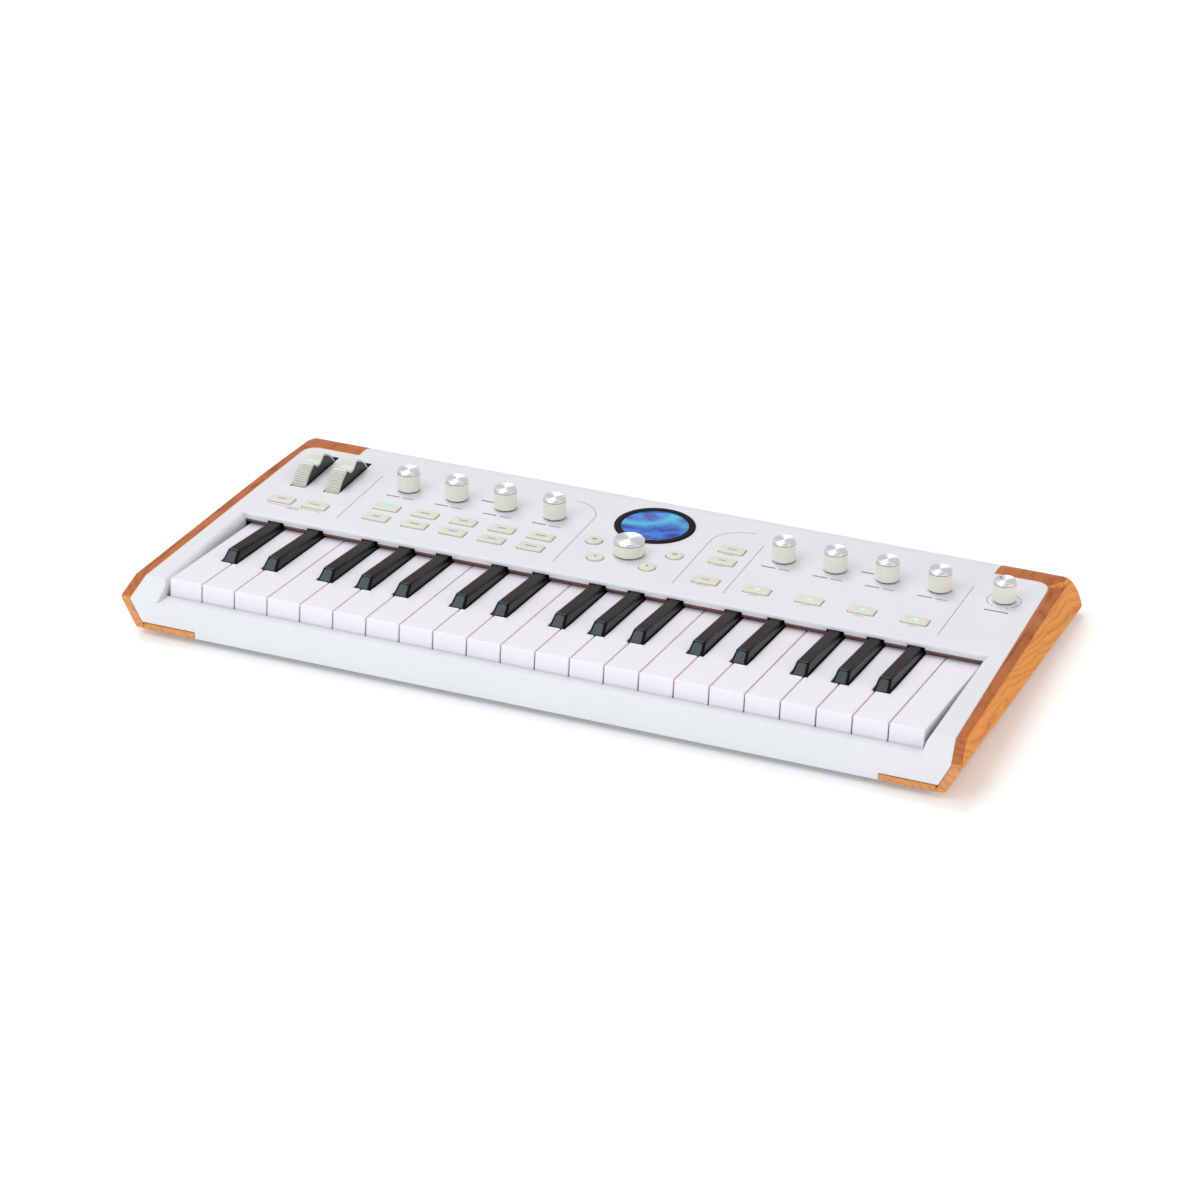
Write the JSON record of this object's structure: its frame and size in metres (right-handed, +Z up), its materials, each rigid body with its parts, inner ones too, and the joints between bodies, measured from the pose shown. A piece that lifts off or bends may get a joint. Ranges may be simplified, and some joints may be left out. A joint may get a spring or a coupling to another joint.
{
  "type": "synthesizer",
  "caption": "Compact desktop keyboard synthesizer with slim keys, a level control panel with knobs, buttons, wheels and a round display, and a wood cheek at each end.",
  "frame": {"origin": "on the table under the middle of the footprint", "axes": "+X from the low keys to the high keys, +Y to the rear, +Z up"},
  "size_m": [0.526, 0.256, 0.046],
  "materials": {
    "case_white": "satin, cool white",
    "case_grey": "fine texture",
    "cheek_wood": "satin varnish, red-brown, visible grain",
    "frame_plastic": "matte",
    "circuit_board": "solder resist",
    "display_black": "gloss",
    "foot_rubber": "matte",
    "screw_steel": "dark plated",
    "knob_cream": "satin, aluminium cap",
    "wheel_cream": "satin cream tread with fine ribs, dark brown sides",
    "button_cream": "satin",
    "key_white": "gloss",
    "key_black": "satin top, gloss sides"
  },
  "bodies": {
    "case": {"top_case": "case_white", "bottom_case": "case_grey", "left_end_cheek": "cheek_wood", "right_end_cheek": "cheek_wood", "key_frame": "frame_plastic", "circuit_boards": "circuit_board", "display_module": "display_black", "rubber_feet": "foot_rubber", "case_screws": "screw_steel"},
    "white_key_01_body": {"white_key_01": "key_white"},
    "white_key_02_body": {"white_key_02": "key_white"},
    "white_key_03_body": {"white_key_03": "key_white"},
    "white_key_04_body": {"white_key_04": "key_white"},
    "white_key_05_body": {"white_key_05": "key_white"},
    "white_key_06_body": {"white_key_06": "key_white"},
    "white_key_07_body": {"white_key_07": "key_white"},
    "white_key_08_body": {"white_key_08": "key_white"},
    "white_key_09_body": {"white_key_09": "key_white"},
    "white_key_10_body": {"white_key_10": "key_white"},
    "white_key_11_body": {"white_key_11": "key_white"},
    "white_key_12_body": {"white_key_12": "key_white"},
    "white_key_13_body": {"white_key_13": "key_white"},
    "white_key_14_body": {"white_key_14": "key_white"},
    "white_key_15_body": {"white_key_15": "key_white"},
    "white_key_16_body": {"white_key_16": "key_white"},
    "white_key_17_body": {"white_key_17": "key_white"},
    "white_key_18_body": {"white_key_18": "key_white"},
    "white_key_19_body": {"white_key_19": "key_white"},
    "white_key_20_body": {"white_key_20": "key_white"},
    "white_key_21_body": {"white_key_21": "key_white"},
    "white_key_22_body": {"white_key_22": "key_white"},
    "black_key_01_body": {"black_key_01": "key_black"},
    "black_key_02_body": {"black_key_02": "key_black"},
    "black_key_03_body": {"black_key_03": "key_black"},
    "black_key_04_body": {"black_key_04": "key_black"},
    "black_key_05_body": {"black_key_05": "key_black"},
    "black_key_06_body": {"black_key_06": "key_black"},
    "black_key_07_body": {"black_key_07": "key_black"},
    "black_key_08_body": {"black_key_08": "key_black"},
    "black_key_09_body": {"black_key_09": "key_black"},
    "black_key_10_body": {"black_key_10": "key_black"},
    "black_key_11_body": {"black_key_11": "key_black"},
    "black_key_12_body": {"black_key_12": "key_black"},
    "black_key_13_body": {"black_key_13": "key_black"},
    "black_key_14_body": {"black_key_14": "key_black"},
    "black_key_15_body": {"black_key_15": "key_black"},
    "knob_1_body": {"knob_1": "knob_cream"},
    "knob_2_body": {"knob_2": "knob_cream"},
    "knob_3_body": {"knob_3": "knob_cream"},
    "knob_4_body": {"knob_4": "knob_cream"},
    "knob_5_body": {"knob_5": "knob_cream"},
    "knob_6_body": {"knob_6": "knob_cream"},
    "knob_7_body": {"knob_7": "knob_cream"},
    "knob_8_body": {"knob_8": "knob_cream"},
    "volume_knob_body": {"volume_knob": "knob_cream"},
    "main_dial_body": {"main_dial": "knob_cream"},
    "pitch_wheel_body": {"pitch_wheel": "wheel_cream"},
    "mod_wheel_body": {"mod_wheel": "wheel_cream"},
    "rectangular_buttons_body": {"rectangular_buttons": "button_cream"},
    "round_buttons_body": {"round_buttons": "button_cream"}
  },
  "joints": [
    {"name": "white_key_01_hinge", "type": "hinge", "parent": "case", "child": "white_key_01_body", "pos_m": [0, 0.00543, 0.01658], "axis": [1, 0, 0], "range_deg": [0, 3.8], "stiffness_Nm_per_rad": 0.6, "springref_deg": -5.73},
    {"name": "white_key_02_hinge", "type": "hinge", "parent": "case", "child": "white_key_02_body", "pos_m": [0, 0.00543, 0.01658], "axis": [1, 0, 0], "range_deg": [0, 3.8], "stiffness_Nm_per_rad": 0.6, "springref_deg": -5.73},
    {"name": "white_key_03_hinge", "type": "hinge", "parent": "case", "child": "white_key_03_body", "pos_m": [0, 0.00543, 0.01658], "axis": [1, 0, 0], "range_deg": [0, 3.8], "stiffness_Nm_per_rad": 0.6, "springref_deg": -5.73},
    {"name": "white_key_04_hinge", "type": "hinge", "parent": "case", "child": "white_key_04_body", "pos_m": [0, 0.00543, 0.01658], "axis": [1, 0, 0], "range_deg": [0, 3.8], "stiffness_Nm_per_rad": 0.6, "springref_deg": -5.73},
    {"name": "white_key_05_hinge", "type": "hinge", "parent": "case", "child": "white_key_05_body", "pos_m": [0, 0.00543, 0.01658], "axis": [1, 0, 0], "range_deg": [0, 3.8], "stiffness_Nm_per_rad": 0.6, "springref_deg": -5.73},
    {"name": "white_key_06_hinge", "type": "hinge", "parent": "case", "child": "white_key_06_body", "pos_m": [0, 0.00543, 0.01658], "axis": [1, 0, 0], "range_deg": [0, 3.8], "stiffness_Nm_per_rad": 0.6, "springref_deg": -5.73},
    {"name": "white_key_07_hinge", "type": "hinge", "parent": "case", "child": "white_key_07_body", "pos_m": [0, 0.00543, 0.01658], "axis": [1, 0, 0], "range_deg": [0, 3.8], "stiffness_Nm_per_rad": 0.6, "springref_deg": -5.73},
    {"name": "white_key_08_hinge", "type": "hinge", "parent": "case", "child": "white_key_08_body", "pos_m": [0, 0.00543, 0.01658], "axis": [1, 0, 0], "range_deg": [0, 3.8], "stiffness_Nm_per_rad": 0.6, "springref_deg": -5.73},
    {"name": "white_key_09_hinge", "type": "hinge", "parent": "case", "child": "white_key_09_body", "pos_m": [0, 0.00543, 0.01658], "axis": [1, 0, 0], "range_deg": [0, 3.8], "stiffness_Nm_per_rad": 0.6, "springref_deg": -5.73},
    {"name": "white_key_10_hinge", "type": "hinge", "parent": "case", "child": "white_key_10_body", "pos_m": [0, 0.00543, 0.01658], "axis": [1, 0, 0], "range_deg": [0, 3.8], "stiffness_Nm_per_rad": 0.6, "springref_deg": -5.73},
    {"name": "white_key_11_hinge", "type": "hinge", "parent": "case", "child": "white_key_11_body", "pos_m": [0, 0.00543, 0.01658], "axis": [1, 0, 0], "range_deg": [0, 3.8], "stiffness_Nm_per_rad": 0.6, "springref_deg": -5.73},
    {"name": "white_key_12_hinge", "type": "hinge", "parent": "case", "child": "white_key_12_body", "pos_m": [0, 0.00543, 0.01658], "axis": [1, 0, 0], "range_deg": [0, 3.8], "stiffness_Nm_per_rad": 0.6, "springref_deg": -5.73},
    {"name": "white_key_13_hinge", "type": "hinge", "parent": "case", "child": "white_key_13_body", "pos_m": [0, 0.00543, 0.01658], "axis": [1, 0, 0], "range_deg": [0, 3.8], "stiffness_Nm_per_rad": 0.6, "springref_deg": -5.73},
    {"name": "white_key_14_hinge", "type": "hinge", "parent": "case", "child": "white_key_14_body", "pos_m": [0, 0.00543, 0.01658], "axis": [1, 0, 0], "range_deg": [0, 3.8], "stiffness_Nm_per_rad": 0.6, "springref_deg": -5.73},
    {"name": "white_key_15_hinge", "type": "hinge", "parent": "case", "child": "white_key_15_body", "pos_m": [0, 0.00543, 0.01658], "axis": [1, 0, 0], "range_deg": [0, 3.8], "stiffness_Nm_per_rad": 0.6, "springref_deg": -5.73},
    {"name": "white_key_16_hinge", "type": "hinge", "parent": "case", "child": "white_key_16_body", "pos_m": [0, 0.00543, 0.01658], "axis": [1, 0, 0], "range_deg": [0, 3.8], "stiffness_Nm_per_rad": 0.6, "springref_deg": -5.73},
    {"name": "white_key_17_hinge", "type": "hinge", "parent": "case", "child": "white_key_17_body", "pos_m": [0, 0.00543, 0.01658], "axis": [1, 0, 0], "range_deg": [0, 3.8], "stiffness_Nm_per_rad": 0.6, "springref_deg": -5.73},
    {"name": "white_key_18_hinge", "type": "hinge", "parent": "case", "child": "white_key_18_body", "pos_m": [0, 0.00543, 0.01658], "axis": [1, 0, 0], "range_deg": [0, 3.8], "stiffness_Nm_per_rad": 0.6, "springref_deg": -5.73},
    {"name": "white_key_19_hinge", "type": "hinge", "parent": "case", "child": "white_key_19_body", "pos_m": [0, 0.00543, 0.01658], "axis": [1, 0, 0], "range_deg": [0, 3.8], "stiffness_Nm_per_rad": 0.6, "springref_deg": -5.73},
    {"name": "white_key_20_hinge", "type": "hinge", "parent": "case", "child": "white_key_20_body", "pos_m": [0, 0.00543, 0.01658], "axis": [1, 0, 0], "range_deg": [0, 3.8], "stiffness_Nm_per_rad": 0.6, "springref_deg": -5.73},
    {"name": "white_key_21_hinge", "type": "hinge", "parent": "case", "child": "white_key_21_body", "pos_m": [0, 0.00543, 0.01658], "axis": [1, 0, 0], "range_deg": [0, 3.8], "stiffness_Nm_per_rad": 0.6, "springref_deg": -5.73},
    {"name": "white_key_22_hinge", "type": "hinge", "parent": "case", "child": "white_key_22_body", "pos_m": [0, 0.00543, 0.01658], "axis": [1, 0, 0], "range_deg": [0, 3.8], "stiffness_Nm_per_rad": 0.6, "springref_deg": -5.73},
    {"name": "black_key_01_hinge", "type": "hinge", "parent": "case", "child": "black_key_01_body", "pos_m": [0, 0.00543, 0.01658], "axis": [1, 0, 0], "range_deg": [0, 3.8], "stiffness_Nm_per_rad": 0.6, "springref_deg": -5.73},
    {"name": "black_key_02_hinge", "type": "hinge", "parent": "case", "child": "black_key_02_body", "pos_m": [0, 0.00543, 0.01658], "axis": [1, 0, 0], "range_deg": [0, 3.8], "stiffness_Nm_per_rad": 0.6, "springref_deg": -5.73},
    {"name": "black_key_03_hinge", "type": "hinge", "parent": "case", "child": "black_key_03_body", "pos_m": [0, 0.00543, 0.01658], "axis": [1, 0, 0], "range_deg": [0, 3.8], "stiffness_Nm_per_rad": 0.6, "springref_deg": -5.73},
    {"name": "black_key_04_hinge", "type": "hinge", "parent": "case", "child": "black_key_04_body", "pos_m": [0, 0.00543, 0.01658], "axis": [1, 0, 0], "range_deg": [0, 3.8], "stiffness_Nm_per_rad": 0.6, "springref_deg": -5.73},
    {"name": "black_key_05_hinge", "type": "hinge", "parent": "case", "child": "black_key_05_body", "pos_m": [0, 0.00543, 0.01658], "axis": [1, 0, 0], "range_deg": [0, 3.8], "stiffness_Nm_per_rad": 0.6, "springref_deg": -5.73},
    {"name": "black_key_06_hinge", "type": "hinge", "parent": "case", "child": "black_key_06_body", "pos_m": [0, 0.00543, 0.01658], "axis": [1, 0, 0], "range_deg": [0, 3.8], "stiffness_Nm_per_rad": 0.6, "springref_deg": -5.73},
    {"name": "black_key_07_hinge", "type": "hinge", "parent": "case", "child": "black_key_07_body", "pos_m": [0, 0.00543, 0.01658], "axis": [1, 0, 0], "range_deg": [0, 3.8], "stiffness_Nm_per_rad": 0.6, "springref_deg": -5.73},
    {"name": "black_key_08_hinge", "type": "hinge", "parent": "case", "child": "black_key_08_body", "pos_m": [0, 0.00543, 0.01658], "axis": [1, 0, 0], "range_deg": [0, 3.8], "stiffness_Nm_per_rad": 0.6, "springref_deg": -5.73},
    {"name": "black_key_09_hinge", "type": "hinge", "parent": "case", "child": "black_key_09_body", "pos_m": [0, 0.00543, 0.01658], "axis": [1, 0, 0], "range_deg": [0, 3.8], "stiffness_Nm_per_rad": 0.6, "springref_deg": -5.73},
    {"name": "black_key_10_hinge", "type": "hinge", "parent": "case", "child": "black_key_10_body", "pos_m": [0, 0.00543, 0.01658], "axis": [1, 0, 0], "range_deg": [0, 3.8], "stiffness_Nm_per_rad": 0.6, "springref_deg": -5.73},
    {"name": "black_key_11_hinge", "type": "hinge", "parent": "case", "child": "black_key_11_body", "pos_m": [0, 0.00543, 0.01658], "axis": [1, 0, 0], "range_deg": [0, 3.8], "stiffness_Nm_per_rad": 0.6, "springref_deg": -5.73},
    {"name": "black_key_12_hinge", "type": "hinge", "parent": "case", "child": "black_key_12_body", "pos_m": [0, 0.00543, 0.01658], "axis": [1, 0, 0], "range_deg": [0, 3.8], "stiffness_Nm_per_rad": 0.6, "springref_deg": -5.73},
    {"name": "black_key_13_hinge", "type": "hinge", "parent": "case", "child": "black_key_13_body", "pos_m": [0, 0.00543, 0.01658], "axis": [1, 0, 0], "range_deg": [0, 3.8], "stiffness_Nm_per_rad": 0.6, "springref_deg": -5.73},
    {"name": "black_key_14_hinge", "type": "hinge", "parent": "case", "child": "black_key_14_body", "pos_m": [0, 0.00543, 0.01658], "axis": [1, 0, 0], "range_deg": [0, 3.8], "stiffness_Nm_per_rad": 0.6, "springref_deg": -5.73},
    {"name": "black_key_15_hinge", "type": "hinge", "parent": "case", "child": "black_key_15_body", "pos_m": [0, 0.00543, 0.01658], "axis": [1, 0, 0], "range_deg": [0, 3.8], "stiffness_Nm_per_rad": 0.6, "springref_deg": -5.73},
    {"name": "knob_1_turn", "type": "hinge", "parent": "case", "child": "knob_1_body", "pos_m": [-0.1606, 0.0602, 0.032], "axis": [0, 0, 1], "continuous": true},
    {"name": "knob_2_turn", "type": "hinge", "parent": "case", "child": "knob_2_body", "pos_m": [-0.1276, 0.0602, 0.032], "axis": [0, 0, 1], "continuous": true},
    {"name": "knob_3_turn", "type": "hinge", "parent": "case", "child": "knob_3_body", "pos_m": [-0.0946, 0.0602, 0.032], "axis": [0, 0, 1], "continuous": true},
    {"name": "knob_4_turn", "type": "hinge", "parent": "case", "child": "knob_4_body", "pos_m": [-0.0616, 0.0602, 0.032], "axis": [0, 0, 1], "continuous": true},
    {"name": "knob_5_turn", "type": "hinge", "parent": "case", "child": "knob_5_body", "pos_m": [0.0888, 0.0602, 0.032], "axis": [0, 0, 1], "continuous": true},
    {"name": "knob_6_turn", "type": "hinge", "parent": "case", "child": "knob_6_body", "pos_m": [0.1218, 0.0602, 0.032], "axis": [0, 0, 1], "continuous": true},
    {"name": "knob_7_turn", "type": "hinge", "parent": "case", "child": "knob_7_body", "pos_m": [0.1548, 0.0602, 0.032], "axis": [0, 0, 1], "continuous": true},
    {"name": "knob_8_turn", "type": "hinge", "parent": "case", "child": "knob_8_body", "pos_m": [0.1878, 0.0602, 0.032], "axis": [0, 0, 1], "continuous": true},
    {"name": "main_dial_turn", "type": "hinge", "parent": "case", "child": "main_dial_body", "pos_m": [0, 0.0304, 0.032], "axis": [0, 0, 1], "continuous": true},
    {"name": "volume_knob_turn", "type": "hinge", "parent": "case", "child": "volume_knob_body", "pos_m": [0.2275, 0.0615, 0.032], "axis": [0, 0, 1], "range_deg": [-209, 91]},
    {"name": "pitch_wheel_turn", "type": "hinge", "parent": "case", "child": "pitch_wheel_body", "pos_m": [-0.2263, 0.059, 0.0188], "axis": [1, 0, 0], "range_deg": [-28, 28], "stiffness_Nm_per_rad": 0.1},
    {"name": "mod_wheel_turn", "type": "hinge", "parent": "case", "child": "mod_wheel_body", "pos_m": [-0.2033, 0.059, 0.0188], "axis": [1, 0, 0], "range_deg": [-28, 28]},
    {"name": "rectangular_buttons_press", "type": "slide", "parent": "case", "child": "rectangular_buttons_body", "axis": [0, 0, -1], "range_m": [0, 0.0005], "stiffness_N_per_m": 800, "springref_m": -0.0005},
    {"name": "round_buttons_press", "type": "slide", "parent": "case", "child": "round_buttons_body", "axis": [0, 0, -1], "range_m": [0, 0.0005], "stiffness_N_per_m": 800, "springref_m": -0.0005}
  ]
}
